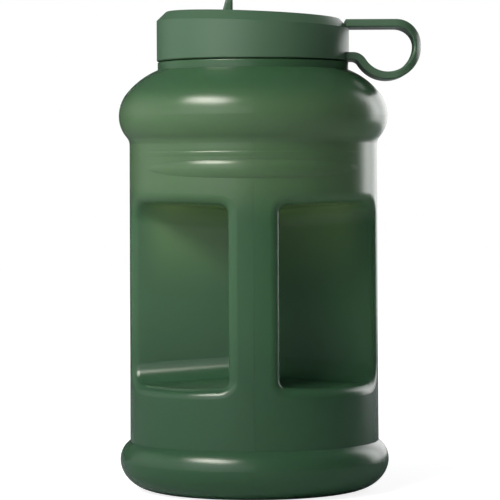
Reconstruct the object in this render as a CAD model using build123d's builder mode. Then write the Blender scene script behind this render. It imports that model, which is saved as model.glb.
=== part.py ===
"""Large water jug: bottle with a see-through grip, and a screw lid with carry loop and flip cap."""

from build123d import *
from math import cos, hypot, radians, sin, tan
import os

os.makedirs("parts", exist_ok=True)

# --- Driving dimensions, all in millimetres and degrees -------------------------------------------
# The jug stands on z = 0, its axis is the z axis, the grip faces -y and the carry loop points to +x.

# bottle
wall = 2.0
side_radius = 62.2
side_taper = 0.4
foot_inset = 13.2
foot_ring_width = 5.0
base_dome = 6.0
base_bead_reach = 5.0
base_bead_height = 15.4
base_bead_curve = 11.0
shoulder_reach = 4.9
shoulder_height = 186.4
shoulder_lower_curve = 16.0
shoulder_upper_curve = 18.5
shoulder_turn = 40.0
shoulder_slope = 0.732
collar_inset = 0.4
collar_height = 3.8
collar_edge = 0.5

# neck and its screw thread
neck_radius = 42.3
neck_wall = 2.4
neck_height = 12.0
rim_edge = 0.8
thread_lead = 6.0
thread_depth = 1.2
thread_root_width = 2.4
thread_crest_width = 1.2
thread_turns = 1.25
thread_start = 2.6

# grip: two windows with a finger gap that joins them behind the post
grip_above_bead = 40.1
grip_below_shoulder = 44.4
grip_draft = 5.0
grip_corner = 10.0
finger_gap = 20.2
post_half_width = 12.2
post_depth = 23.0
post_back_corner = 6.0
post_root_corner = 4.0
lip_radius = 5.0

# screw lid
lid_gap = 0.5
lid_wall = 2.0
lid_height = 23.4
lid_top_slope = 2.5
lid_top_wall = 2.2
lid_chamfer = 4.8
lid_edge = 1.0
lid_bottom_edge = 0.6
lid_inner_chamfer = 2.4
liner_seat_width = 1.4
liner_wall = 1.8
liner_plate = 1.6
liner_fit = 0.2
thread_gap = 0.5
gasket_thickness = 1.4
gasket_gap = 0.1
gasket_overhang = 0.8

# carry loop
loop_thickness = 3.9
loop_half_width = 14.5
loop_length = 35.75
loop_top_rise = 20.65
loop_corner_curve = 10.95
loop_bow_curve = 14.95
loop_bow_turn = 148.0
loop_sway_curve = 5.6
loop_plan_corner = 13.0
loop_edge = 0.9

# flip cap, in the plane of the sloping lid top: u along x, v along y, w up
pocket_front = -20.0
pocket_tail = 2.8
pocket_depth = 4.6
pocket_corner = 8.0
pocket_rear_corner = 3.0
pocket_wall = 2.0
pocket_edge = 0.4
hinge_w = -1.3
hinge_radius = 2.2
hinge_half_width = 9.5
pin_radius = 0.9
pin_clearance = 0.05
side_clearance = 0.5
cap_clearance = 0.5
cap_top = 1.2
cap_plate = 2.0
cap_skirt = 2.4
cap_lift = 1.0
cap_rear_corner = 1.5
cap_edge = 1.2
cap_tongue = 1.0
pin_end_gap = 0.2
fin_right = -9.9
fin_thickness = 3.2
fin_base_thickness = 5.7
fin_height = 8.8
fin_half_width = 9.0
fin_corner = 3.0
fin_edge = 1.2

# drinking spout, its plug and the vent
spout_u = 3.0
spout_radius = 8.0
spout_wall = 1.9
spout_edge = 0.6
spout_to_skirt = 0.7
plug_clearance = 0.4
plug_seat = 1.1
plug_gap = 0.1
plug_depth = 3.2
plug_wall = 1.6
plug_lead_in = 0.6
vent_gap = 1.3
vent_hole_radius = 2.0
vent_flange_radius = 3.2
vent_flange = 0.8
vent_stem = 5.4
vent_bill_length = 3.6
vent_bill_thickness = 0.9
liner_hole_clearance = 0.3

# --- Sizes that follow ----------------------------------------------------------------------------
side_top_radius = side_radius - side_taper
foot_radius = side_radius - foot_inset
foot_inner_radius = foot_radius - foot_ring_width
base_bead_radius = side_radius + base_bead_reach
shoulder_radius = side_radius + shoulder_reach
grip_bottom = base_bead_height + grip_above_bead
grip_top = shoulder_height - grip_below_shoulder
grip_back = side_radius - post_depth - finger_gap
liner_inner_radius = neck_radius + thread_depth + thread_gap
liner_outer_radius = liner_inner_radius + liner_wall
lid_radius = liner_outer_radius + liner_fit + lid_wall
collar_radius = lid_radius - collar_inset
shoulder_turn_radius = shoulder_radius - shoulder_upper_curve * (1 - cos(radians(shoulder_turn)))
shoulder_turn_height = shoulder_height + shoulder_upper_curve * sin(radians(shoulder_turn))
collar_bottom = shoulder_turn_height + shoulder_slope * (shoulder_turn_radius - collar_radius)
collar_top = collar_bottom + collar_height
lid_top_height = collar_top + lid_height
loop_reach = lid_radius + loop_length
loop_top_height = collar_top + loop_top_rise
neck_rim = collar_top + neck_height
neck_bore_radius = neck_radius - neck_wall
lid_bottom = collar_top + lid_gap
liner_bottom = lid_bottom + lid_gap
liner_plate_bottom = neck_rim + gasket_thickness + 2 * gasket_gap
lid_plane = Plane(
    origin=(0, 0, lid_top_height),
    x_dir=(cos(radians(lid_top_slope)), 0, -sin(radians(lid_top_slope))),
    z_dir=(sin(radians(lid_top_slope)), 0, cos(radians(lid_top_slope))),
)
thread_base = collar_top + thread_start
lid_seat = liner_plate_bottom + liner_plate
loop_sway_turn = loop_bow_turn - 90
spout_outer_radius = spout_radius + spout_wall
pocket_half_width = spout_outer_radius + spout_to_skirt + cap_skirt + cap_clearance
vent_u = spout_u + spout_outer_radius + vent_gap + vent_flange_radius
hinge_u = vent_u + vent_flange_radius + vent_gap + cap_skirt + cap_clearance + hinge_radius
pocket_rear = hinge_u + hinge_radius + pocket_tail
hinge_plane = Plane(
    origin=lid_plane.from_local_coords(Vector(hinge_u, 0, hinge_w)),
    x_dir=lid_plane.x_dir,
    z_dir=(0, -1, 0),
)
pin_half_length = pocket_half_width - pin_end_gap
fin_top = lid_top_height + fin_height
cap_bottom = -pocket_depth + cap_lift
cap_front = pocket_front + cap_clearance
cap_rear = hinge_u - hinge_radius - cap_clearance
cap_length = cap_rear - cap_front
cap_middle = (cap_rear + cap_front) / 2
cap_half_width = pocket_half_width - cap_clearance
cap_front_corner = pocket_corner - cap_clearance
cap_under = cap_top - cap_plate
plug_top = cap_under
spout_top = plug_top - plug_seat - plug_gap
spout_bottom = liner_plate_bottom - lid_top_height
pocket_middle = (pocket_front + pocket_rear) / 2
pocket_length = pocket_rear - pocket_front


# --- Bottle ---------------------------------------------------------------------------------------
def bottle_outline(inset):
    """Half outline of the bottle on the xz plane, moved inwards by inset, up to the neck's rim."""
    shoulder_centre = shoulder_radius - shoulder_upper_curve
    turn = radians(shoulder_turn)
    turn_r = shoulder_centre + (shoulder_upper_curve - inset) * cos(turn)
    turn_z = shoulder_height + (shoulder_upper_curve - inset) * sin(turn)
    lower_curve = shoulder_lower_curve - inset
    lower_centre = shoulder_radius - shoulder_lower_curve
    bead_centre = base_bead_radius - base_bead_curve
    bead_curve = base_bead_curve - inset
    bead_end = side_radius - inset - bead_centre
    bead_rise = (bead_curve**2 - bead_end**2) ** 0.5
    shoulder_end = side_top_radius - inset - lower_centre
    shoulder_drop = (lower_curve**2 - shoulder_end**2) ** 0.5
    neck_side = collar_radius if inset == 0 else neck_bore_radius
    neck_foot = collar_bottom if inset == 0 else collar_bottom - 1.5 * inset
    with BuildSketch(Plane.XZ) as outline:
        with BuildLine():
            dome = ThreePointArc(
                (0, base_dome + inset),
                (foot_inner_radius * 0.55, base_dome * 0.7 + inset),
                (foot_inner_radius, inset),
            )
            foot = Line(dome @ 1, (foot_radius, inset))
            bead_low = EllipticalCenterArc(
                (foot_radius, base_bead_height),
                base_bead_radius - foot_radius - inset,
                base_bead_height - inset,
                start_angle=270,
                arc_size=90,
            )
            bead_top = RadiusArc(
                bead_low @ 1,
                (side_radius - inset, base_bead_height + bead_rise),
                -bead_curve,
            )
            side = Line(bead_top @ 1, (side_top_radius - inset, shoulder_height - shoulder_drop))
            shoulder_low = RadiusArc(side @ 1, (shoulder_radius - inset, shoulder_height), -lower_curve)
            shoulder_mid = RadiusArc(
                shoulder_low @ 1, (turn_r, turn_z), -(shoulder_upper_curve - inset)
            )
            shoulder_top = TangentArc(
                shoulder_mid @ 1, (neck_side, neck_foot), tangent=shoulder_mid % 1
            )
            if inset == 0:
                Polyline(
                    shoulder_top @ 1,
                    (collar_radius, collar_top),
                    (neck_radius, collar_top),
                    (neck_radius, neck_rim),
                    (0, neck_rim),
                    (0, base_dome + inset),
                )
            else:
                Polyline(
                    shoulder_top @ 1,
                    (neck_bore_radius, neck_rim + wall),
                    (0, neck_rim + wall),
                    (0, base_dome + inset),
                )
        make_face()
    return outline.sketch


def grip_space(grow):
    """Space of the two windows and the finger gap behind the post, swollen outwards by grow."""
    draft = tan(radians(grip_draft))
    reach = base_bead_radius + 20
    middle = (grip_bottom + grip_top) / 2
    post_back = side_radius - post_depth
    with BuildPart() as space:
        with Locations((reach / 2, -reach / 2, middle)):
            Box(reach, reach, grip_top - grip_bottom + 60)
        for start, outward in (
            ((0, -grip_back, middle), (-draft, 1, 0)),
            ((0, -side_radius, grip_bottom), (-draft, draft, -1)),
            ((0, -side_radius, grip_top), (-draft, draft, 1)),
        ):
            normal = Vector(*outward).normalized()
            face = Plane(origin=Vector(*start) + normal * grow, z_dir=normal)
            split(bisect_by=face, keep=Keep.BOTTOM)
        back_wall = space.faces().sort_by(Axis.Y)[-1]
        back_edges = back_wall.edges().filter_by(Axis.Z, reverse=True)
        fillet(back_edges, radius=grip_corner + grow)
        with BuildSketch(Plane.XY) as post:
            with BuildLine():
                Polyline(
                    (-1, -reach - 1),
                    (post_half_width - grow, -reach - 1),
                    (post_half_width - grow, -post_back - grow),
                    (-1, -post_back - grow),
                    close=True,
                )
            make_face()
            fillet(post.vertices().group_by(Axis.Y)[-1].sort_by(Axis.X)[-1], post_back_corner - grow)
        extrude(amount=3 * middle, mode=Mode.SUBTRACT)
        post_faces = space.faces().filter_by(
            lambda f: abs(f.normal_at().Z) < 0.01
            and f.bounding_box().max.X < post_half_width + 0.1
            and f.bounding_box().max.Y < -post_back + 0.1
            and f.bounding_box().max.X > 0.1
        )
        root_edges = [
            e
            for e in post_faces.edges()
            if e.bounding_box().size.Z < 6 and e.bounding_box().max.Y > -reach + 1
        ]
        fillet(root_edges, radius=post_root_corner + grow)
        mirror(about=Plane.YZ)
    return space.part


def helical_ridge(root_radius, crest_radius):
    """Screw ridge that climbs thread_turns from thread_base, on the root radius."""
    sink = 0.3 if crest_radius > root_radius else -0.3
    with BuildPart() as ridge:
        with BuildLine() as path:
            Helix(
                pitch=thread_lead,
                height=thread_lead * thread_turns,
                radius=root_radius,
                center=(0, 0, thread_base),
            )
        start = path.line @ 0
        across = Vector(start.X, start.Y, 0).normalized()
        with BuildSketch(Plane(origin=start, x_dir=across, z_dir=path.line % 0)):
            depth = crest_radius - root_radius
            with BuildLine():
                Polyline(
                    (-sink, -thread_root_width / 2),
                    (depth, -thread_crest_width / 2),
                    (depth, thread_crest_width / 2),
                    (-sink, thread_root_width / 2),
                    close=True,
                )
            make_face()
        sweep(path=path.line, is_frenet=True)
    return ridge.part


with BuildPart() as cavity:
    add(bottle_outline(wall))
    revolve(axis=Axis.Z)
    add(grip_space(wall), mode=Mode.SUBTRACT)

with BuildPart() as jug_body:
    add(bottle_outline(0))
    revolve(axis=Axis.Z)
    add(grip_space(0), mode=Mode.SUBTRACT)
    lip_edges = [
        e
        for e in jug_body.edges()
        if grip_bottom - 10 < e.center().Z < grip_top + 10
        and abs(e.center().X) > 1
        and e.center().Y < 0
        and all(hypot((e @ t).X, (e @ t).Y) > side_top_radius - 0.5 for t in (0, 0.5, 1))
    ]
    fillet(lip_edges, radius=lip_radius)
    collar_edges = [
        e
        for e in jug_body.edges().filter_by(GeomType.CIRCLE)
        if abs(e.radius - collar_radius) < 0.01 and abs(e.center().Z - collar_top) < 0.01
    ]
    fillet(collar_edges, radius=collar_edge)
    fillet(jug_body.edges().group_by(Axis.Z)[-1], radius=rim_edge)
    add(helical_ridge(neck_radius, neck_radius + thread_depth))
    add(cavity.part, mode=Mode.SUBTRACT)
jug_body.part.label = "jug_body"
export_step(jug_body.part, "parts/jug_body.step")
print(f"capacity to the rim: {cavity.part.volume / 1e6:.2f} litres")


# --- Lid shell with the carry loop ----------------------------------------------------------------
def pocket_plan(grow):
    """Rounded outline of the flip cap's recess, swollen outwards by grow."""
    with BuildSketch() as plan:
        with Locations((pocket_middle, 0)):
            Rectangle(pocket_length + 2 * grow, 2 * (pocket_half_width + grow))
        fillet(plan.vertices().group_by(Axis.X)[0], radius=pocket_corner + grow)
        fillet(plan.vertices().group_by(Axis.X)[-1], radius=pocket_rear_corner + grow)
    return plan.sketch


with BuildPart() as lid_hollow:
    with BuildSketch(Plane.XY.offset(lid_seat)):
        Circle(lid_radius - lid_wall - liner_seat_width)
    extrude(amount=lid_top_height)
    split(bisect_by=lid_plane.offset(-lid_top_wall), keep=Keep.BOTTOM)
    chamfer(lid_hollow.edges().group_by(Axis.Z)[-1], length=lid_inner_chamfer)
    with BuildSketch(lid_plane.offset(-pocket_depth - pocket_wall)):
        add(pocket_plan(pocket_wall))
    extrude(amount=pocket_depth + pocket_wall, mode=Mode.SUBTRACT)
    with BuildSketch(lid_plane.offset(-lid_top_height / 4)):
        with Locations((spout_u, 0)):
            Circle(spout_outer_radius)
    extrude(amount=lid_top_height / 4, mode=Mode.SUBTRACT)
    with BuildSketch(Plane.XY.offset(lid_bottom - lid_gap)):
        Circle(lid_radius - lid_wall)
    extrude(amount=lid_seat - lid_bottom + lid_gap)

with BuildPart() as carry_loop:
    with BuildSketch(Plane.XZ) as loop_band:
        with BuildLine() as band_path:
            bar = Line(
                (lid_radius - lid_wall, loop_top_height - loop_thickness / 2),
                (loop_reach - loop_thickness / 2 - loop_corner_curve, loop_top_height - loop_thickness / 2),
            )
            bend = JernArc(bar @ 1, bar % 1, radius=loop_corner_curve, arc_size=-90)
            bow = JernArc(bend @ 1, bend % 1, radius=loop_bow_curve, arc_size=-loop_bow_turn)
            sway = JernArc(bow @ 1, bow % 1, radius=loop_sway_curve, arc_size=loop_sway_turn)
            Line(sway @ 1, (lid_radius - lid_wall, (sway @ 1).Y))
        trace(band_path.line, line_width=loop_thickness)
    extrude(amount=loop_half_width, both=True)
    with BuildSketch(Plane.XY) as loop_plan:
        with Locations((lid_radius - lid_wall, 0)):
            Rectangle(
                loop_reach - lid_radius + lid_wall,
                2 * loop_half_width,
                align=(Align.MIN, Align.CENTER),
            )
        fillet(loop_plan.vertices().group_by(Axis.X)[-1], radius=loop_plan_corner)
    extrude(amount=2 * lid_top_height, mode=Mode.INTERSECT)
    band_edges = [e for e in carry_loop.edges() if abs(e.center().Y) > loop_half_width / 2]
    band_edges = [e for e in band_edges if e.bounding_box().max.X > lid_radius]
    fillet(band_edges, radius=loop_edge)

with BuildPart() as lid_shell:
    with BuildSketch(Plane.XY.offset(lid_bottom)):
        Circle(lid_radius)
    extrude(amount=lid_top_height)
    split(bisect_by=lid_plane, keep=Keep.BOTTOM)
    chamfer(lid_shell.edges().group_by(Axis.Z)[-1], length=lid_chamfer)
    fillet(lid_shell.faces().sort_by(Axis.Z)[-1].edges(), radius=lid_edge)
    fillet(lid_shell.edges().group_by(Axis.Z)[0], radius=lid_bottom_edge)
    add(carry_loop.part)
    with BuildSketch(lid_plane.offset(-pocket_depth)):
        add(pocket_plan(0))
    extrude(amount=2 * pocket_depth, mode=Mode.SUBTRACT)
    pocket_rim = [
        e
        for e in lid_shell.edges()
        if all(abs(lid_plane.to_local_coords(e @ t).Z) < 0.01 for t in (0, 0.5, 1))
        and all(abs((e @ t).Y) < pocket_half_width + 0.01 for t in (0, 0.5, 1))
        and hypot((e @ 0).X, (e @ 0).Y) < pocket_rear + pocket_wall
    ]
    fillet(pocket_rim, radius=pocket_edge)
    add(lid_hollow.part, mode=Mode.SUBTRACT)
    for side in (1, -1):
        with BuildSketch(hinge_plane.offset(side * (hinge_half_width + side_clearance))):
            Circle(hinge_radius)
            Rectangle(2 * hinge_radius, pocket_depth + hinge_w, align=(Align.CENTER, Align.MAX))
        extrude(amount=side * (pocket_half_width - hinge_half_width))
    with BuildSketch(hinge_plane):
        Circle(pin_radius)
    extrude(amount=pin_half_length, both=True, mode=Mode.SUBTRACT)
    with BuildSketch(lid_plane.offset(spout_bottom)):
        with Locations((spout_u, 0)):
            Circle(spout_outer_radius)
    extrude(amount=spout_top - spout_bottom)
    with BuildSketch(lid_plane.offset(spout_bottom - 1)):
        with Locations((spout_u, 0)):
            Circle(spout_radius)
    extrude(amount=-spout_bottom + pocket_depth, mode=Mode.SUBTRACT)
    spout_lip = [
        e
        for e in lid_shell.edges().filter_by(GeomType.CIRCLE)
        if abs(lid_plane.to_local_coords(e.center()).Z - spout_top) < 0.01
    ]
    fillet(spout_lip, radius=spout_edge)
    with BuildSketch(lid_plane.offset(-pocket_depth)):
        with Locations((vent_u, 0)):
            Circle(vent_hole_radius)
    extrude(amount=-2 * pocket_wall, mode=Mode.SUBTRACT)
lid_shell.part.label = "lid_shell"
export_step(lid_shell.part, "parts/lid_shell.step")

# --- Threaded liner and its gasket ----------------------------------------------------------------
with BuildPart() as lid_liner:
    with BuildSketch(Plane.XY.offset(liner_bottom)):
        Circle(liner_outer_radius)
    extrude(amount=lid_seat - liner_bottom)
    with BuildSketch(Plane.XY.offset(liner_bottom)):
        Circle(liner_inner_radius)
    extrude(amount=liner_plate_bottom - liner_bottom, mode=Mode.SUBTRACT)
    liner_thread = helical_ridge(liner_inner_radius, liner_inner_radius - thread_depth)
    add(liner_thread, rotation=(0, 0, 180))
    with BuildSketch(Plane.XY.offset(liner_plate_bottom)):
        with Locations(lid_plane.from_local_coords(Vector(spout_u, 0, spout_bottom))):
            Circle(spout_outer_radius + liner_hole_clearance)
        with Locations(lid_plane.from_local_coords(Vector(vent_u, 0, spout_bottom))):
            Circle(vent_hole_radius + liner_hole_clearance)
    extrude(amount=liner_plate, mode=Mode.SUBTRACT)
lid_liner.part.label = "lid_liner"
export_step(lid_liner.part, "parts/lid_liner.step")

with BuildPart() as lid_gasket:
    with BuildSketch(Plane.XY.offset(neck_rim + gasket_gap)):
        Circle(neck_radius + gasket_overhang)
        Circle(neck_bore_radius - gasket_overhang, mode=Mode.SUBTRACT)
    extrude(amount=gasket_thickness)
lid_gasket.part.label = "lid_gasket"
export_step(lid_gasket.part, "parts/lid_gasket.step")

# --- Flip cap, its pin and plug -------------------------------------------------------------------
with BuildPart() as thumb_fin:
    with BuildSketch(Plane.XZ):
        with BuildLine():
            Polyline(
                (fin_right, lid_top_height),
                (fin_right, fin_top),
                (fin_right - fin_thickness, fin_top),
                (fin_right - fin_base_thickness, lid_top_height),
                close=True,
            )
        make_face()
    extrude(amount=fin_half_width, both=True)
    fillet(thumb_fin.faces().sort_by(Axis.Z)[-1].edges().filter_by(Axis.X), radius=fin_corner)
    fin_edges = [
        e
        for e in thumb_fin.edges().filter_by(Axis.X, reverse=True)
        if e.center().Z > lid_top_height + 1
    ]
    fillet(fin_edges, radius=fin_edge)

with BuildPart() as flip_cap:
    with BuildSketch(lid_plane.offset(cap_bottom)) as cap_plan:
        with Locations((cap_middle, 0)):
            Rectangle(cap_length, 2 * cap_half_width)
        fillet(cap_plan.vertices().group_by(Axis.X)[0], radius=cap_front_corner)
        fillet(cap_plan.vertices().group_by(Axis.X)[-1], radius=cap_rear_corner)
    extrude(amount=cap_top - cap_bottom)
    fillet(flip_cap.faces().sort_by(Axis.Z)[-1].edges(), radius=cap_edge)
    with BuildSketch(lid_plane.offset(cap_bottom)) as cap_inside:
        with Locations((cap_middle, 0)):
            Rectangle(cap_length - 2 * cap_skirt, 2 * (cap_half_width - cap_skirt))
        fillet(cap_inside.vertices().group_by(Axis.X)[0], radius=cap_front_corner - cap_skirt)
        fillet(cap_inside.vertices().group_by(Axis.X)[-1], radius=cap_rear_corner)
    extrude(amount=cap_under - cap_bottom, mode=Mode.SUBTRACT)
    with BuildSketch(hinge_plane):
        Circle(hinge_radius)
        Rectangle(
            hinge_u - cap_rear + cap_skirt,
            hinge_radius + cap_tongue,
            align=(Align.MAX, Align.CENTER),
        )
    extrude(amount=hinge_half_width, both=True)
    with BuildSketch(hinge_plane):
        Circle(pin_radius + pin_clearance)
    extrude(amount=pin_half_length, both=True, mode=Mode.SUBTRACT)
    add(thumb_fin.part)
flip_cap.part.label = "flip_cap"
export_step(flip_cap.part, "parts/flip_cap.step")

with BuildPart() as hinge_pin:
    with BuildSketch(hinge_plane):
        Circle(pin_radius)
    extrude(amount=pin_half_length, both=True)
hinge_pin.part.label = "hinge_pin"
export_step(hinge_pin.part, "parts/hinge_pin.step")

with BuildPart() as cap_plug:
    with BuildSketch(lid_plane.offset(plug_top)):
        with Locations((spout_u, 0)):
            Circle(spout_outer_radius - plug_clearance)
    extrude(amount=-plug_seat)
    with BuildSketch(lid_plane.offset(plug_top - plug_seat)):
        with Locations((spout_u, 0)):
            Circle(spout_radius - plug_clearance)
    extrude(amount=-plug_depth)
    chamfer(cap_plug.edges().group_by(Axis.Z)[0], length=plug_lead_in)
    with BuildSketch(lid_plane.offset(plug_top - plug_seat)):
        with Locations((spout_u, 0)):
            Circle(spout_radius - plug_clearance - plug_wall)
    extrude(amount=-plug_depth, mode=Mode.SUBTRACT)
cap_plug.part.label = "cap_plug"
export_step(cap_plug.part, "parts/cap_plug.step")

with BuildPart() as vent_valve:
    with BuildSketch(lid_plane.offset(-pocket_depth)):
        with Locations((vent_u, 0)):
            Circle(vent_flange_radius)
    extrude(amount=vent_flange)
    with BuildSketch(lid_plane.offset(-pocket_depth)):
        with Locations((vent_u, 0)):
            Circle(vent_hole_radius)
    extrude(amount=-vent_stem)
    with BuildSketch(lid_plane.offset(-pocket_depth - vent_stem)):
        with Locations((vent_u, 0)):
            Circle(vent_hole_radius)
    with BuildSketch(lid_plane.offset(-pocket_depth - vent_stem - vent_bill_length)):
        with Locations((vent_u, 0)):
            SlotOverall(2 * vent_hole_radius, vent_bill_thickness)
    loft()
vent_valve.part.label = "vent_valve"
export_step(vent_valve.part, "parts/vent_valve.step")
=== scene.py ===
# %% [markdown]
# # A large water jug, finished around its CAD frame
# The jug is a blow-moulded bottle with a grip moulded through its side, closed by a screw lid that
# carries a loop and a flip cap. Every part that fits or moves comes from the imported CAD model, so this
# script never moves one. It gives each part its finish, adds a band, a blend and the fine traces that a
# blow mould leaves on the bottle, and sets up a small studio. The first cell loads the frame.

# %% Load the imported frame
from math import asin, cos, hypot, pi, radians, sin, tau

import bmesh
import bpy
from mathutils import Matrix, Vector
from mathutils.bvhtree import BVHTree


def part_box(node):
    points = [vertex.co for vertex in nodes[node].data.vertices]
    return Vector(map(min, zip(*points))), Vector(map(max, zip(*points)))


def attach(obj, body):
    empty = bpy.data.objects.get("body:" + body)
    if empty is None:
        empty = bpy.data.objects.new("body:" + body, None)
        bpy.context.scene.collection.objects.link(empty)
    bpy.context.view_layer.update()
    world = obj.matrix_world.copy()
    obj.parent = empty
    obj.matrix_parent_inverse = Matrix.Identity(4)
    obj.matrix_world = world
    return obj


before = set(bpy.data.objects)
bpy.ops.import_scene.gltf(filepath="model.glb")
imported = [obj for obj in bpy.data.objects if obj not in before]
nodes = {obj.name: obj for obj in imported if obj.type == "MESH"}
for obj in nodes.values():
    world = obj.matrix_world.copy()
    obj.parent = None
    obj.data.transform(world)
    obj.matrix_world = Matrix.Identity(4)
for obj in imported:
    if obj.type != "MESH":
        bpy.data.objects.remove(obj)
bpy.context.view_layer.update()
print("CAD nodes:", ", ".join(sorted(nodes)))

# %% [markdown]
# ## Measures taken from the frame
# The main sizes are read from the CAD boxes instead of being typed in again. Heights on the bottle's
# wall are given in metres above the floor, in the cell that uses them. The bottle stands on the floor
# at the origin, its axis is Z, the grip faces -Y and the carry loop points to +X.

# %% Read the main measures
body_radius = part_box("jug_body")[1].x
jug_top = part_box("flip_cap")[1].z
mm = 0.001
print(f"bottle {2 * body_radius:.4f} m across, {jug_top:.4f} m to the tip of the fin")

# %% [markdown]
# ## Camera
# The view is a long lens from far away, at about two thirds of the jug's height, with the grip post
# facing it. A long lens keeps the sides almost parallel. The camera looks down a little, so that the
# jug sits in the middle of the picture without any lens shift.

# %% Place the camera
camera_distance = 1.341
camera_height = 0.158
focal_length = 193.0
aim_drop = 0.0287
aim_left = 0.0014
camera_roll = radians(0.25)

camera_data = bpy.data.cameras.new("studio_camera")
camera_data.lens = focal_length
camera_data.sensor_width = 36.0
camera = bpy.data.objects.new("studio_camera", camera_data)
bpy.context.scene.collection.objects.link(camera)
camera.location = (0.0, -camera_distance, camera_height)
line_of_sight = Vector((-aim_left, 1.0, -aim_drop))
camera.rotation_mode = "QUATERNION"
turn = Matrix.Rotation(camera_roll, 4, line_of_sight)
looking = line_of_sight.to_track_quat("-Z", "Y").to_matrix().to_4x4()
camera.rotation_quaternion = (turn @ looking).to_quaternion()
bpy.context.scene.camera = camera
print("camera at", tuple(round(v, 3) for v in camera.location))

# %% [markdown]
# ## Small helpers for node trees
# The materials and the lights use the same few nodes again and again, so two short functions make them.

# %% Define the helpers


def math_node(tree, operation):
    """Math node that does one operation."""
    node = tree.nodes.new("ShaderNodeMath")
    node.operation = operation
    return node


def smooth_step(tree, start, end):
    """Map Range node that rises smoothly from 0 at start to 1 at end."""
    node = tree.nodes.new("ShaderNodeMapRange")
    node.interpolation_type = "SMOOTHSTEP"
    node.inputs["From Min"].default_value = start
    node.inputs["From Max"].default_value = end
    return node


print("helpers:", math_node.__name__, smooth_step.__name__)

# %% [markdown]
# ## Shared finish: mould grain
# Moulded plastic is never optically flat. The mould's blasted surface prints a fine grain, and the wall
# shrinks a little unevenly while it cools, which bends the highlights. Both effects are noise in Object
# coordinates, so they stay on the part from any side. They are built once as a node group, and each
# material places the group with its own sizes.

# %% Build the mould grain group


def mould_grain_group():
    """Node group that puts out a height for bump and a slow mask for colour and gloss."""
    tree = bpy.data.node_groups.new("mould_grain", "ShaderNodeTree")
    sizes = (("Grain Scale", 900.0), ("Grain Depth", 0.2), ("Sink Scale", 9.0), ("Sink Depth", 1.0))
    for name, value in sizes:
        socket = tree.interface.new_socket(name, in_out="INPUT", socket_type="NodeSocketFloat")
        socket.default_value = value
    tree.interface.new_socket("Height", in_out="OUTPUT", socket_type="NodeSocketFloat")
    tree.interface.new_socket("Mask", in_out="OUTPUT", socket_type="NodeSocketFloat")
    inlet = tree.nodes.new("NodeGroupInput")
    outlet = tree.nodes.new("NodeGroupOutput")
    place = tree.nodes.new("ShaderNodeTexCoord")
    grain = tree.nodes.new("ShaderNodeTexNoise")
    grain.inputs["Detail"].default_value = 3.0
    sink = tree.nodes.new("ShaderNodeTexNoise")
    sink.inputs["Detail"].default_value = 1.0
    grain_height = math_node(tree, "MULTIPLY")
    sink_height = math_node(tree, "MULTIPLY")
    both = math_node(tree, "ADD")
    link = tree.links.new
    link(place.outputs["Object"], grain.inputs["Vector"])
    link(place.outputs["Object"], sink.inputs["Vector"])
    link(inlet.outputs["Grain Scale"], grain.inputs["Scale"])
    link(inlet.outputs["Sink Scale"], sink.inputs["Scale"])
    link(grain.outputs["Fac"], grain_height.inputs[0])
    link(inlet.outputs["Grain Depth"], grain_height.inputs[1])
    link(sink.outputs["Fac"], sink_height.inputs[0])
    link(inlet.outputs["Sink Depth"], sink_height.inputs[1])
    link(grain_height.outputs[0], both.inputs[0])
    link(sink_height.outputs[0], both.inputs[1])
    link(both.outputs[0], outlet.inputs["Height"])
    link(sink.outputs["Fac"], outlet.inputs["Mask"])
    return tree


mould_grain = mould_grain_group()
print("node group:", mould_grain.name)

# %% [markdown]
# ## Shared finish: mould step
# Two inserts of the mould meet on the wall above the grip, between the raised band and the shoulder,
# and leave a step a tenth of a millimetre or two high, which fades away towards the sides. It is
# too low to change the outline, so it is drawn as a curve over Object Z, faded by the
# direction round the axis, and bump mapping bends the light with it.

# %% Build the mould step group
step_low = 0.166
step_high = 0.172
step_fade = (-0.40 * body_radius, -0.78 * body_radius)
curve_middle = 0.2
curve_share = 0.5
step_profile = (
    (0.1660, 0.00), (0.1677, 0.14), (0.1680, 0.14), (0.1688, -0.06), (0.1700, 0.00), (0.1720, 0.00),
)


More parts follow.
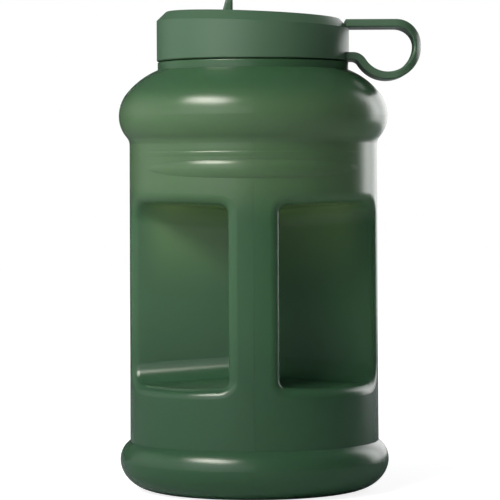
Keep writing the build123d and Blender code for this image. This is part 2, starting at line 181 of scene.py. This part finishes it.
def mould_step_group():
    """Node group for the step's height in millimetres, full at the front and none at the back."""
    tree = bpy.data.node_groups.new("mould_step", "ShaderNodeTree")
    for name, value in (("Low", step_low), ("High", step_high), ("Depth", 1 / curve_share)):
        socket = tree.interface.new_socket(name, in_out="INPUT", socket_type="NodeSocketFloat")
        socket.default_value = value
    tree.interface.new_socket("Height", in_out="OUTPUT", socket_type="NodeSocketFloat")
    inlet = tree.nodes.new("NodeGroupInput")
    outlet = tree.nodes.new("NodeGroupOutput")
    place = tree.nodes.new("ShaderNodeTexCoord")
    split = tree.nodes.new("ShaderNodeSeparateXYZ")
    along = tree.nodes.new("ShaderNodeMapRange")
    profile = tree.nodes.new("ShaderNodeFloatCurve")
    line = profile.mapping.curves[0]
    points = []
    for z, h in step_profile:
        points.append(((z - step_low) / (step_high - step_low), curve_middle + curve_share * h))
    for place_on_line, height in points[1:-1]:
        line.points.new(place_on_line, height)
    line.points[0].location = points[0]
    line.points[-1].location = points[-1]
    for point in line.points:
        point.handle_type = "AUTO_CLAMPED"
    profile.mapping.update()
    centred = math_node(tree, "SUBTRACT")
    centred.inputs[1].default_value = curve_middle
    front = smooth_step(tree, *step_fade)
    faded = math_node(tree, "MULTIPLY")
    height = math_node(tree, "MULTIPLY")
    link = tree.links.new
    link(place.outputs["Object"], split.inputs["Vector"])
    link(split.outputs["Z"], along.inputs["Value"])
    link(inlet.outputs["Low"], along.inputs["From Min"])
    link(inlet.outputs["High"], along.inputs["From Max"])
    link(along.outputs["Result"], profile.inputs["Value"])
    link(profile.outputs["Value"], centred.inputs[0])
    link(split.outputs["Y"], front.inputs["Value"])
    link(centred.outputs[0], faded.inputs[0])
    link(front.outputs["Result"], faded.inputs[1])
    link(faded.outputs[0], height.inputs[0])
    link(inlet.outputs["Depth"], height.inputs[1])
    link(height.outputs[0], outlet.inputs["Height"])
    return tree


mould_step = mould_step_group()
print("node group:", mould_step.name, "from", step_low, "to", step_high, "m")

# %% [markdown]
# ## Plastics
# All moulded parts are nearly the same dark green. The bottle is a little glossier, with a roughness of
# 0.25 against the lid's 0.40, and each has its own grain, because they come from different moulds. The
# slow mask shifts the colour and the gloss by a few percent, as uneven pigment and cooling do. The
# bottle scatters a little light under its surface.

# %% Make the plastics


def moulded_plastic(name, dark, light, roughness, spread, grain, sink, glow):
    """Opaque moulded plastic between two close colours. grain and sink are each a scale and a depth."""
    material = bpy.data.materials.new(name)
    material.use_nodes = True
    tree = material.node_tree
    surface = tree.nodes["Principled BSDF"]
    surface.inputs["IOR"].default_value = 1.49
    surface.subsurface_method = "RANDOM_WALK"
    surface.inputs["Subsurface Weight"].default_value = glow
    surface.inputs["Subsurface Radius"].default_value = (0.6, 1.0, 0.4)
    surface.inputs["Subsurface Scale"].default_value = 6 * mm
    group = tree.nodes.new("ShaderNodeGroup")
    group.name = "grain"
    group.node_tree = mould_grain
    group.inputs["Grain Scale"].default_value = grain[0]
    group.inputs["Grain Depth"].default_value = grain[1]
    group.inputs["Sink Scale"].default_value = sink[0]
    group.inputs["Sink Depth"].default_value = sink[1]
    colour = tree.nodes.new("ShaderNodeMix")
    colour.name = "colour"
    colour.data_type = "RGBA"
    colour.inputs["A"].default_value = (*dark, 1.0)
    colour.inputs["B"].default_value = (*light, 1.0)
    gloss = tree.nodes.new("ShaderNodeMapRange")
    gloss.inputs["To Min"].default_value = roughness - spread
    gloss.inputs["To Max"].default_value = roughness + spread
    bump = tree.nodes.new("ShaderNodeBump")
    bump.name = "bump"
    bump.inputs["Strength"].default_value = 1.0
    bump.inputs["Distance"].default_value = mm
    link = tree.links.new
    link(group.outputs["Mask"], colour.inputs["Factor"])
    link(group.outputs["Mask"], gloss.inputs["Value"])
    link(group.outputs["Height"], bump.inputs["Height"])
    link(colour.outputs["Result"], surface.inputs["Base Color"])
    link(gloss.outputs["Result"], surface.inputs["Roughness"])
    link(bump.outputs["Normal"], surface.inputs["Normal"])
    return material


bottle_green = moulded_plastic(
    "bottle_green", (0.044, 0.107, 0.040), (0.052, 0.121, 0.047),
    0.250, 0.012, (900.0, 0.012), (14.0, 0.25), 0.5,
)
lid_green = moulded_plastic(
    "lid_green", (0.059, 0.124, 0.074), (0.067, 0.137, 0.082),
    0.403, 0.012, (1400.0, 0.02), (30.0, 0.04), 0.0,
)
silicone = moulded_plastic(
    "silicone", (0.50, 0.52, 0.49), (0.56, 0.57, 0.54),
    0.45, 0.05, (1600.0, 0.01), (60.0, 0.02), 0.3,
)
pin_steel = moulded_plastic(
    "pin_steel", (0.55, 0.55, 0.55), (0.62, 0.62, 0.62),
    0.22, 0.03, (2500.0, 0.01), (60.0, 0.0), 0.0,
)
pin_steel.node_tree.nodes["Principled BSDF"].inputs["Metallic"].default_value = 1.0
print("materials:", len(bpy.data.materials))

# %% [markdown]
# ## Painted light and shade on the bottle
# A colour ramp over Object Z tints the green before it reaches the surface. It paints shade on the base
# and lower walls, paints light on the upper wall and the shoulder, and makes the hue cooler at the base,
# grip and collar. A second tint paints a warm glow of light into the top of the recess behind the grip,
# near the axis, where the lip above leaves it in shade. The mould step is added to the grain's height.

# %% Paint light and shade on the bottle and add the mould step
# Painted shade and light: the ramp darkens the base and lower walls, lightens the upper wall and
# shoulder, and cools the hue at the base, grip and collar.
deep = (0.64, 0.76, 1.04, 1.0)
cool = (0.82, 0.94, 1.20, 1.0)
pale = (1.62, 1.30, 1.72, 1.0)
neck = (0.90, 0.98, 1.24, 1.0)
# Painted light: a warm glow on the top of the recess near the axis, lifting the shade under the lip.
recess_light_tint = (2.1, 1.58, 1.3, 1.0)
painted_shading_stops = ((0.050, deep), (0.095, cool), (0.132, cool), (0.156, pale), (0.188, pale), (0.203, neck))
recess_reach = (0.90 * body_radius, 0.66 * body_radius)
recess_top_start = (0.095, 0.138)
recess_top_end = (0.172, 0.160)

tree = bottle_green.node_tree
place = tree.nodes.new("ShaderNodeTexCoord")
split = tree.nodes.new("ShaderNodeSeparateXYZ")
rise = tree.nodes.new("ShaderNodeMapRange")
rise.inputs["From Max"].default_value = jug_top
painted_shading_ramp = tree.nodes.new("ShaderNodeValToRGB")
ramp = painted_shading_ramp.color_ramp
for height, colour in painted_shading_stops:
    stop = ramp.elements.new(height / jug_top)
    stop.color = colour
ramp.elements[0].color = deep
ramp.elements[-1].color = neck
ramp.interpolation = "EASE"
tint = tree.nodes.new("ShaderNodeMix")
tint.data_type = "RGBA"
tint.blend_type = "MULTIPLY"
tint.inputs["Factor"].default_value = 1.0
tree.links.new(place.outputs["Object"], split.inputs["Vector"])
tree.links.new(split.outputs["Z"], rise.inputs["Value"])
tree.links.new(rise.outputs["Result"], painted_shading_ramp.inputs["Fac"])
tree.links.new(tree.nodes["colour"].outputs["Result"], tint.inputs["A"])
tree.links.new(painted_shading_ramp.outputs["Color"], tint.inputs["B"])

flat = tree.nodes.new("ShaderNodeVectorMath")
flat.operation = "MULTIPLY"
flat.inputs[1].default_value = (1.0, 1.0, 0.0)
reach = tree.nodes.new("ShaderNodeVectorMath")
reach.operation = "LENGTH"
inner = smooth_step(tree, *recess_reach)
upper = smooth_step(tree, *recess_top_start)
below = smooth_step(tree, *recess_top_end)
recess = math_node(tree, "MULTIPLY")
recess_light_mask = math_node(tree, "MULTIPLY")
# Painted light: this mix brightens and warms the top of the recess where the mask is full.
warm = tree.nodes.new("ShaderNodeMix")
warm.data_type = "RGBA"
warm.blend_type = "MULTIPLY"
warm.inputs["B"].default_value = recess_light_tint
tree.links.new(place.outputs["Object"], flat.inputs[0])
tree.links.new(flat.outputs["Vector"], reach.inputs[0])
tree.links.new(reach.outputs["Value"], inner.inputs["Value"])
tree.links.new(split.outputs["Z"], upper.inputs["Value"])
tree.links.new(split.outputs["Z"], below.inputs["Value"])
tree.links.new(inner.outputs["Result"], recess.inputs[0])
tree.links.new(below.outputs["Result"], recess.inputs[1])
tree.links.new(recess.outputs[0], recess_light_mask.inputs[0])
tree.links.new(upper.outputs["Result"], recess_light_mask.inputs[1])
tree.links.new(recess_light_mask.outputs[0], warm.inputs["Factor"])
tree.links.new(tint.outputs["Result"], warm.inputs["A"])
tree.links.new(warm.outputs["Result"], tree.nodes["Principled BSDF"].inputs["Base Color"])

step_node = tree.nodes.new("ShaderNodeGroup")
step_node.node_tree = mould_step
surface_height = math_node(tree, "ADD")
tree.links.new(tree.nodes["grain"].outputs["Height"], surface_height.inputs[0])
tree.links.new(step_node.outputs["Height"], surface_height.inputs[1])
tree.links.new(surface_height.outputs[0], tree.nodes["bump"].inputs["Height"])
print("bottle_green nodes:", len(tree.nodes))

# %% [markdown]
# ## Give every CAD node its finish
# A CAD node keeps its mesh, and only the material in its slot is changed.

# %% Assign the finishes
finishes = {
    "jug_body": bottle_green,
    "lid_shell": lid_green,
    "lid_liner": lid_green,
    "flip_cap": lid_green,
    "lid_gasket": silicone,
    "cap_plug": silicone,
    "vent_valve": silicone,
    "hinge_pin": pin_steel,
}
for name, finish in finishes.items():
    nodes[name].data.materials.clear()
    nodes[name].data.materials.append(finish)
print("finished nodes:", len(finishes))

# %% [markdown]
# ## Raised band and shoulder blend
# Two shapes of the blow mould are added on the bottle's wall. A rounded band stands out of the wall
# above the grip. It is part of a ring whose axis sits a little forward of the bottle's, so it is
# highest at the front and sinks into the wall at both sides. Under the shoulder, a ring with a hollow
# section fills the sharp crease with a soft blend. Both are closed bodies, rooted inside the 2 mm wall.
# Rays cast at the CAD bottle give its true radius, so the ring follows every facet.

# %% Measure the wall and build closed bodies through sections
ray_length = 0.5
sharp_angle = radians(50)


def surface_of(meshes):
    """Tree for ray casts against several meshes at once."""
    points, faces = [], []
    for mesh in meshes:
        start = len(points)
        points += [v.co.copy() for v in mesh.vertices]
        faces += [[start + i for i in p.vertices] for p in mesh.polygons]
    return BVHTree.FromPolygons(points, faces)


def wall_radius(angle, height):
    """Distance from the bottle's axis to its outside, at an angle from the front and a height."""
    away = Vector((sin(angle), -cos(angle), 0))
    place = bare_bottle.ray_cast(Vector((0, 0, height)) + ray_length * away, -away)[0]
    return hypot(place.x, place.y)


def moulded_body(name, sections, ring, body, finish):
    """Closed mesh through equal sections, joined end to end if it is a ring, riding on a body."""
    size, count = len(sections[0]), len(sections)
    faces = []
    for i in range(count if ring else count - 1):
        here, after = i * size, (i + 1) % count * size
        for j in range(size):
            k = (j + 1) % size
            faces.append((here + j, here + k, after + k, after + j))
    if not ring:
        faces += [tuple(range(size)), tuple(range((count - 1) * size, count * size))]
    mesh = bpy.data.meshes.new(name)
    mesh.from_pydata([tuple(p) for section in sections for p in section], [], faces)
    tidy = bmesh.new()
    tidy.from_mesh(mesh)
    bmesh.ops.recalc_face_normals(tidy, faces=tidy.faces)
    tidy.to_mesh(mesh)
    tidy.free()
    mesh.shade_smooth()
    mesh.set_sharp_from_angle(angle=sharp_angle)
    mesh.materials.append(finish)
    result = bpy.data.objects.new(name, mesh)
    bpy.context.scene.collection.objects.link(result)
    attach(result, body)
    return result


bare_bottle = surface_of([nodes["jug_body"].data])
band_peak = 0.1603
print("wall radius at the band:", round(wall_radius(0, band_peak), 5), "m")

# %% Raised band
band_rise = 1.2 * mm
band_sink = 0.3 * mm
band_back = 0.2 * mm
band_shift = 2.6 * mm
band_reaches = ((-1, 5.3 * mm), (1, 4.7 * mm))
arc_steps = 12
peak_radius = wall_radius(0, band_peak) + band_rise - band_shift
root_radius = peak_radius - band_rise - band_sink
profile = []
for side, arc_reach in band_reaches:
    curve = (arc_reach**2 + (band_rise + band_sink) ** 2) / (2 * (band_rise + band_sink))
    turns = [asin(arc_reach / curve) * i / arc_steps for i in range(arc_steps + 1)]
    arc = [(peak_radius - curve * (1 - cos(t)), band_peak + side * curve * sin(t)) for t in turns]
    profile = arc[::-1] if side < 0 else profile + arc[1:]
profile += [(root_radius - band_back, profile[-1][1]), (root_radius - band_back, profile[0][1])]
band_half_angle = radians(60)
band_steps = 120
band_sections = []
for i in range(band_steps + 1):
    angle = band_half_angle * (2 * i / band_steps - 1)
    band_sections.append([(r * sin(angle), -band_shift - r * cos(angle), z) for r, z in profile])
raised_band = moulded_body("raised_band", band_sections, False, "jug", bottle_green)
print("raised band faces:", len(raised_band.data.polygons))

# %% Shoulder blend
shoulder_middle = 0.1864
shoulder_curve = 16 * mm
blend_radius = 6.5 * mm
blend_sink = 0.03 * mm
blend_back = 0.5 * mm
blend_lap = 0.2 * mm
blend_steps = 14
section_count = 360
below_blend = 0.1705
reach = shoulder_curve - blend_sink + blend_radius
blend_sections = []
for i in range(section_count):
    angle = tau * i / section_count
    wall_r = wall_radius(angle, below_blend) - blend_sink
    arc_r = wall_radius(angle, shoulder_middle) - shoulder_curve
    centre_r = wall_r + blend_radius
    centre_z = shoulder_middle - (reach**2 - (centre_r - arc_r) ** 2) ** 0.5
    fall = asin((shoulder_middle - centre_z) / reach)
    turns = [pi - fall * k / blend_steps for k in range(blend_steps + 1)]
    section = [(centre_r + blend_radius * cos(t), centre_z + blend_radius * sin(t)) for t in turns]
    back = wall_r - blend_back
    section += [(back, section[-1][1] - blend_lap), (back, section[0][1])]
    blend_sections.append([(r * sin(angle), -r * cos(angle), z) for r, z in section])
shoulder_blend = moulded_body("shoulder_blend", blend_sections, True, "jug", bottle_green)
print("shoulder blend faces:", len(shoulder_blend.data.polygons))

# %% [markdown]
# ## Mould parting line
# A blow mould closes from the left and the right, and a hair-fine ridge of plastic stays where its
# halves met, in the plane x = 0. The ridge has to lie on the real surface, so rays are cast at the CAD
# bottle, the band and the blend from outside to find the path. Geometry Nodes then sweep a small
# round profile along it, and more than half of the profile is sunk into the wall.

# %% Find the parting line's path
bottle_tree = surface_of([nodes["jug_body"].data, raised_band.data, shoulder_blend.data])
aim_height = 0.10


def surface_point(angle, sink):
    """Point on the bottle's outside in the plane x = 0, seen from its middle, sunk by a small depth."""
    away = Vector((0, -cos(angle), sin(angle)))
    start = Vector((0, 0, aim_height)) + ray_length * away
    place, normal = bottle_tree.ray_cast(start, -away)[:2]
    if normal.dot(away) < 0:
        normal = -normal
    return place - sink * normal


print("a point on the shoulder:", tuple(round(v, 4) for v in surface_point(radians(50), 0)))

# %% [markdown]
# The sweep is one Geometry Nodes tree with two named sizes. It serves the parting line and the wider
# pinch-off scar under the base, where the mould cut the hot tube.

# %% Sweep a ridge along a path


def ridge_tree():
    """Geometry Nodes tree that turns a polyline into a round ridge with a given radius."""
    tree = bpy.data.node_groups.new("moulded_ridge", "GeometryNodeTree")
    tree.interface.new_socket("Geometry", in_out="INPUT", socket_type="NodeSocketGeometry")
    radius = tree.interface.new_socket("Ridge Radius", in_out="INPUT", socket_type="NodeSocketFloat")
    radius.default_value = 0.16 * mm
    step = tree.interface.new_socket("Step", in_out="INPUT", socket_type="NodeSocketFloat")
    step.default_value = mm
    finish = tree.interface.new_socket("Finish", in_out="INPUT", socket_type="NodeSocketMaterial")
    finish.default_value = None
    tree.interface.new_socket("Geometry", in_out="OUTPUT", socket_type="NodeSocketGeometry")
    inlet = tree.nodes.new("NodeGroupInput")
    outlet = tree.nodes.new("NodeGroupOutput")
    path = tree.nodes.new("GeometryNodeMeshToCurve")
    even = tree.nodes.new("GeometryNodeResampleCurve")
    even.mode = "LENGTH"
    profile = tree.nodes.new("GeometryNodeCurvePrimitiveCircle")
    profile.inputs["Resolution"].default_value = 8
    sweep = tree.nodes.new("GeometryNodeCurveToMesh")
    sweep.inputs["Fill Caps"].default_value = True
    real = tree.nodes.new("GeometryNodeRealizeInstances")
    coat = tree.nodes.new("GeometryNodeSetMaterial")
    link = tree.links.new
    link(inlet.outputs["Geometry"], path.inputs["Mesh"])
    link(path.outputs["Curve"], even.inputs["Curve"])
    link(inlet.outputs["Step"], even.inputs["Length"])
    link(inlet.outputs["Ridge Radius"], profile.inputs["Radius"])
    link(even.outputs["Curve"], sweep.inputs["Curve"])
    link(profile.outputs["Curve"], sweep.inputs["Profile Curve"])
    link(sweep.outputs["Mesh"], real.inputs["Geometry"])
    link(real.outputs["Geometry"], coat.inputs["Geometry"])
    link(inlet.outputs["Finish"], coat.inputs["Material"])
    link(coat.outputs["Geometry"], outlet.inputs["Geometry"])
    return tree


ridge_nodes = ridge_tree()
ridge_inputs = [item for item in ridge_nodes.interface.items_tree if item.in_out == "INPUT"]


def moulded_ridge(name, points, radius, body, finish):
    """A ridge swept along points, converted to a plain mesh that rides on a body."""
    path = bpy.data.meshes.new(name + "_path")
    path.from_pydata([tuple(p) for p in points], [(i, i + 1) for i in range(len(points) - 1)], [])
    ridge = bpy.data.objects.new(name, path)
    bpy.context.scene.collection.objects.link(ridge)
    modifier = ridge.modifiers.new("sweep", "NODES")
    modifier.node_group = ridge_nodes
    sockets = {item.name: item.identifier for item in ridge_inputs}
    modifier[sockets["Ridge Radius"]] = radius
    modifier[sockets["Step"]] = mm
    modifier[sockets["Finish"]] = finish
    bpy.context.view_layer.update()
    swept = ridge.evaluated_get(bpy.context.evaluated_depsgraph_get())
    result = bpy.data.meshes.new_from_object(swept)
    ridge.modifiers.remove(modifier)
    ridge.data = result
    tidy = bmesh.new()
    tidy.from_mesh(result)
    bmesh.ops.recalc_face_normals(tidy, faces=tidy.faces)
    tidy.to_mesh(result)
    tidy.free()
    result.shade_smooth()
    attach(ridge, body)
    return ridge


print("tree inputs:", [item.name for item in ridge_inputs])

# %% Make the parting line and the pinch-off scar
line_radius = 0.16 * mm
line_sink = 0.09 * mm
scar_radius = 0.7 * mm
scar_sink = 0.45 * mm
scar_half_length = 36 * mm
base_height = 30 * mm
collar_angle = radians(66.5)
line_count = 420
angles = [collar_angle - i / (line_count - 1) * (pi + 2 * collar_angle) for i in range(line_count)]
line_points = [surface_point(angle, line_sink) for angle in angles]
inside_box = body_radius - line_radius
for point in line_points:
    point.y = max(-inside_box, min(inside_box, point.y))
    point.z = max(2 * line_radius, point.z)
parting_line = moulded_ridge("parting_line", line_points, line_radius, "jug", bottle_green)
scar_places = [surface_point(angle, scar_sink) for angle in angles]
scar_points = [p for p in scar_places if p.z < base_height and abs(p.y) < scar_half_length]
pinch_scar = moulded_ridge("pinch_off_scar", scar_points, scar_radius, "jug", bottle_green)
print("parting line faces:", len(parting_line.data.polygons))
print("scar faces:", len(pinch_scar.data.polygons))

# %% [markdown]
# ## Studio
# The jug stands on a plain white floor in front of plain white. A glossy body mirrors its
# surroundings, so what it sees matters more than the power of the lamps: a warm softbox high on the
# front left makes the highlights, two large dim panels on the left and the front left fill the body, a
# strip and a board behind on the right whiten that edge, and the air on the right is dark. Each lamp is
# brightest in its middle, so that no hard edge shows on the walls. The floor is white to the camera,
# bounces light onto the jug, and is dim to reflections, so that the lower walls stay deep green.

# %% Floor
floor_size = 6.0
shadow_share = 0.55
near_white, far_white = 0.84, 1.0
fade_start, fade_end = 0.25, 0.9
floor_mesh = bpy.data.meshes.new("studio_floor")
half = floor_size / 2
corners = [(-half, -half, 0), (half, -half, 0), (half, half, 0), (-half, half, 0)]
floor_mesh.from_pydata(corners, [], [(0, 1, 2, 3)])
floor = bpy.data.objects.new("studio_floor", floor_mesh)
bpy.context.scene.collection.objects.link(floor)
paper = bpy.data.materials.new("studio_paper")
paper.use_nodes = True
tree = paper.node_tree
tree.nodes.clear()
rays = tree.nodes.new("ShaderNodeLightPath")
dim = tree.nodes.new("ShaderNodeBsdfDiffuse")
dim.inputs["Color"].default_value = (0.25, 0.27, 0.30, 1.0)
bounce = tree.nodes.new("ShaderNodeBsdfDiffuse")
bounce.inputs["Color"].default_value = (0.9, 0.9, 0.87, 1.0)
soft = tree.nodes.new("ShaderNodeMixShader")
tree.links.new(rays.outputs["Is Diffuse Ray"], soft.inputs["Fac"])
tree.links.new(dim.outputs[0], soft.inputs[1])
tree.links.new(bounce.outputs[0], soft.inputs[2])
white = tree.nodes.new("ShaderNodeBsdfDiffuse")
white.inputs["Color"].default_value = (shadow_share, shadow_share, shadow_share, 1.0)
glow = tree.nodes.new("ShaderNodeEmission")
where = tree.nodes.new("ShaderNodeTexCoord")
away = tree.nodes.new("ShaderNodeVectorMath")
away.operation = "LENGTH"
fade = tree.nodes.new("ShaderNodeMapRange")
fade.inputs["From Min"].default_value = fade_start
fade.inputs["From Max"].default_value = fade_end
fade.inputs["To Min"].default_value = near_white
fade.inputs["To Max"].default_value = far_white
tree.links.new(where.outputs["Object"], away.inputs[0])
tree.links.new(away.outputs["Value"], fade.inputs["Value"])
tree.links.new(fade.outputs["Result"], glow.inputs["Strength"])
lit = tree.nodes.new("ShaderNodeAddShader")
seen = tree.nodes.new("ShaderNodeMixShader")
result = tree.nodes.new("ShaderNodeOutputMaterial")
tree.links.new(white.outputs[0], lit.inputs[0])
tree.links.new(glow.outputs[0], lit.inputs[1])
tree.links.new(rays.outputs["Is Camera Ray"], seen.inputs["Fac"])
tree.links.new(soft.outputs[0], seen.inputs[1])
tree.links.new(lit.outputs[0], seen.inputs[2])
tree.links.new(seen.outputs[0], result.inputs["Surface"])
floor_mesh.materials.append(paper)
print("floor", floor_size, "m square")

# %% Lights


def softbox(name, azimuth, elevation, distance, width, height, radiance, colour):
    """Area light that faces the jug's middle, bright in its middle and dim at its edges."""
    data = bpy.data.lights.new(name, "AREA")
    data.shape = "RECTANGLE"
    data.size = width
    data.size_y = height
    data.energy = radiance * pi * width * height
    data.color = colour
    data.use_nodes = True
    cloth = data.node_tree
    emission = cloth.nodes["Emission"]
    place = cloth.nodes.new("ShaderNodeNewGeometry")
    split = cloth.nodes.new("ShaderNodeSeparateXYZ")
    both = math_node(cloth, "MULTIPLY")
    cloth.links.new(place.outputs["Parametric"], split.inputs["Vector"])
    for socket, across in zip(("X", "Y"), (0, 1)):
        rest = math_node(cloth, "SUBTRACT")
        rest.inputs[0].default_value = 1.0
        hump = math_node(cloth, "MULTIPLY")
        peak = math_node(cloth, "MULTIPLY")
        peak.inputs[1].default_value = 4.0
        cloth.links.new(split.outputs[socket], rest.inputs[1])
        cloth.links.new(split.outputs[socket], hump.inputs[0])
        cloth.links.new(rest.outputs[0], hump.inputs[1])
        cloth.links.new(hump.outputs[0], peak.inputs[0])
        cloth.links.new(peak.outputs[0], both.inputs[across])
    cloth.links.new(both.outputs[0], emission.inputs["Strength"])
    lamp = bpy.data.objects.new(name, data)
    lamp.visible_camera = False
    bpy.context.scene.collection.objects.link(lamp)
    a, e = radians(azimuth), radians(elevation)
    direction = Vector((sin(a) * cos(e), -cos(a) * cos(e), sin(e)))
    middle = Vector((0, 0, jug_top / 2))
    lamp.location = middle + distance * direction
    lamp.rotation_euler = (-direction).to_track_quat("-Z", "Y").to_euler()
    return lamp


softbox("key_softbox", -44, 40, 1.5, 1.10, 0.58, 22.5, (1.0, 0.97, 0.88))
softbox("left_panel", -92, 10, 1.3, 2.4, 1.6, 0.60, (0.98, 1.0, 0.98))
softbox("fill_panel", -34, 14, 1.5, 2.2, 1.1, 1.60, (0.98, 0.99, 1.0))
softbox("edge_strip", 126, 12, 1.2, 0.5, 1.2, 3.8, (1.0, 1.0, 1.0))
softbox("edge_board", 152, 12, 1.2, 1.2, 1.2, 2.4, (1.0, 1.0, 1.0))

world = bpy.data.worlds.new("studio_air")
world.use_nodes = True
tree = world.node_tree
air = tree.nodes["Background"]
air.inputs["Color"].default_value = (0.90, 0.96, 1.0, 1.0)
air.inputs["Strength"].default_value = 0.07
backdrop = tree.nodes.new("ShaderNodeBackground")
backdrop.inputs["Color"].default_value = (1.0, 1.0, 1.0, 1.0)
backdrop.inputs["Strength"].default_value = 1.0
rays = tree.nodes.new("ShaderNodeLightPath")
seen = tree.nodes.new("ShaderNodeMixShader")
tree.links.new(rays.outputs["Is Camera Ray"], seen.inputs["Fac"])
tree.links.new(air.outputs[0], seen.inputs[1])
tree.links.new(backdrop.outputs[0], seen.inputs[2])
tree.links.new(seen.outputs[0], tree.nodes["World Output"].inputs["Surface"])
bpy.context.scene.world = world
bpy.context.scene.view_settings.view_transform = "Standard"
print("lights:", len(bpy.data.lights))
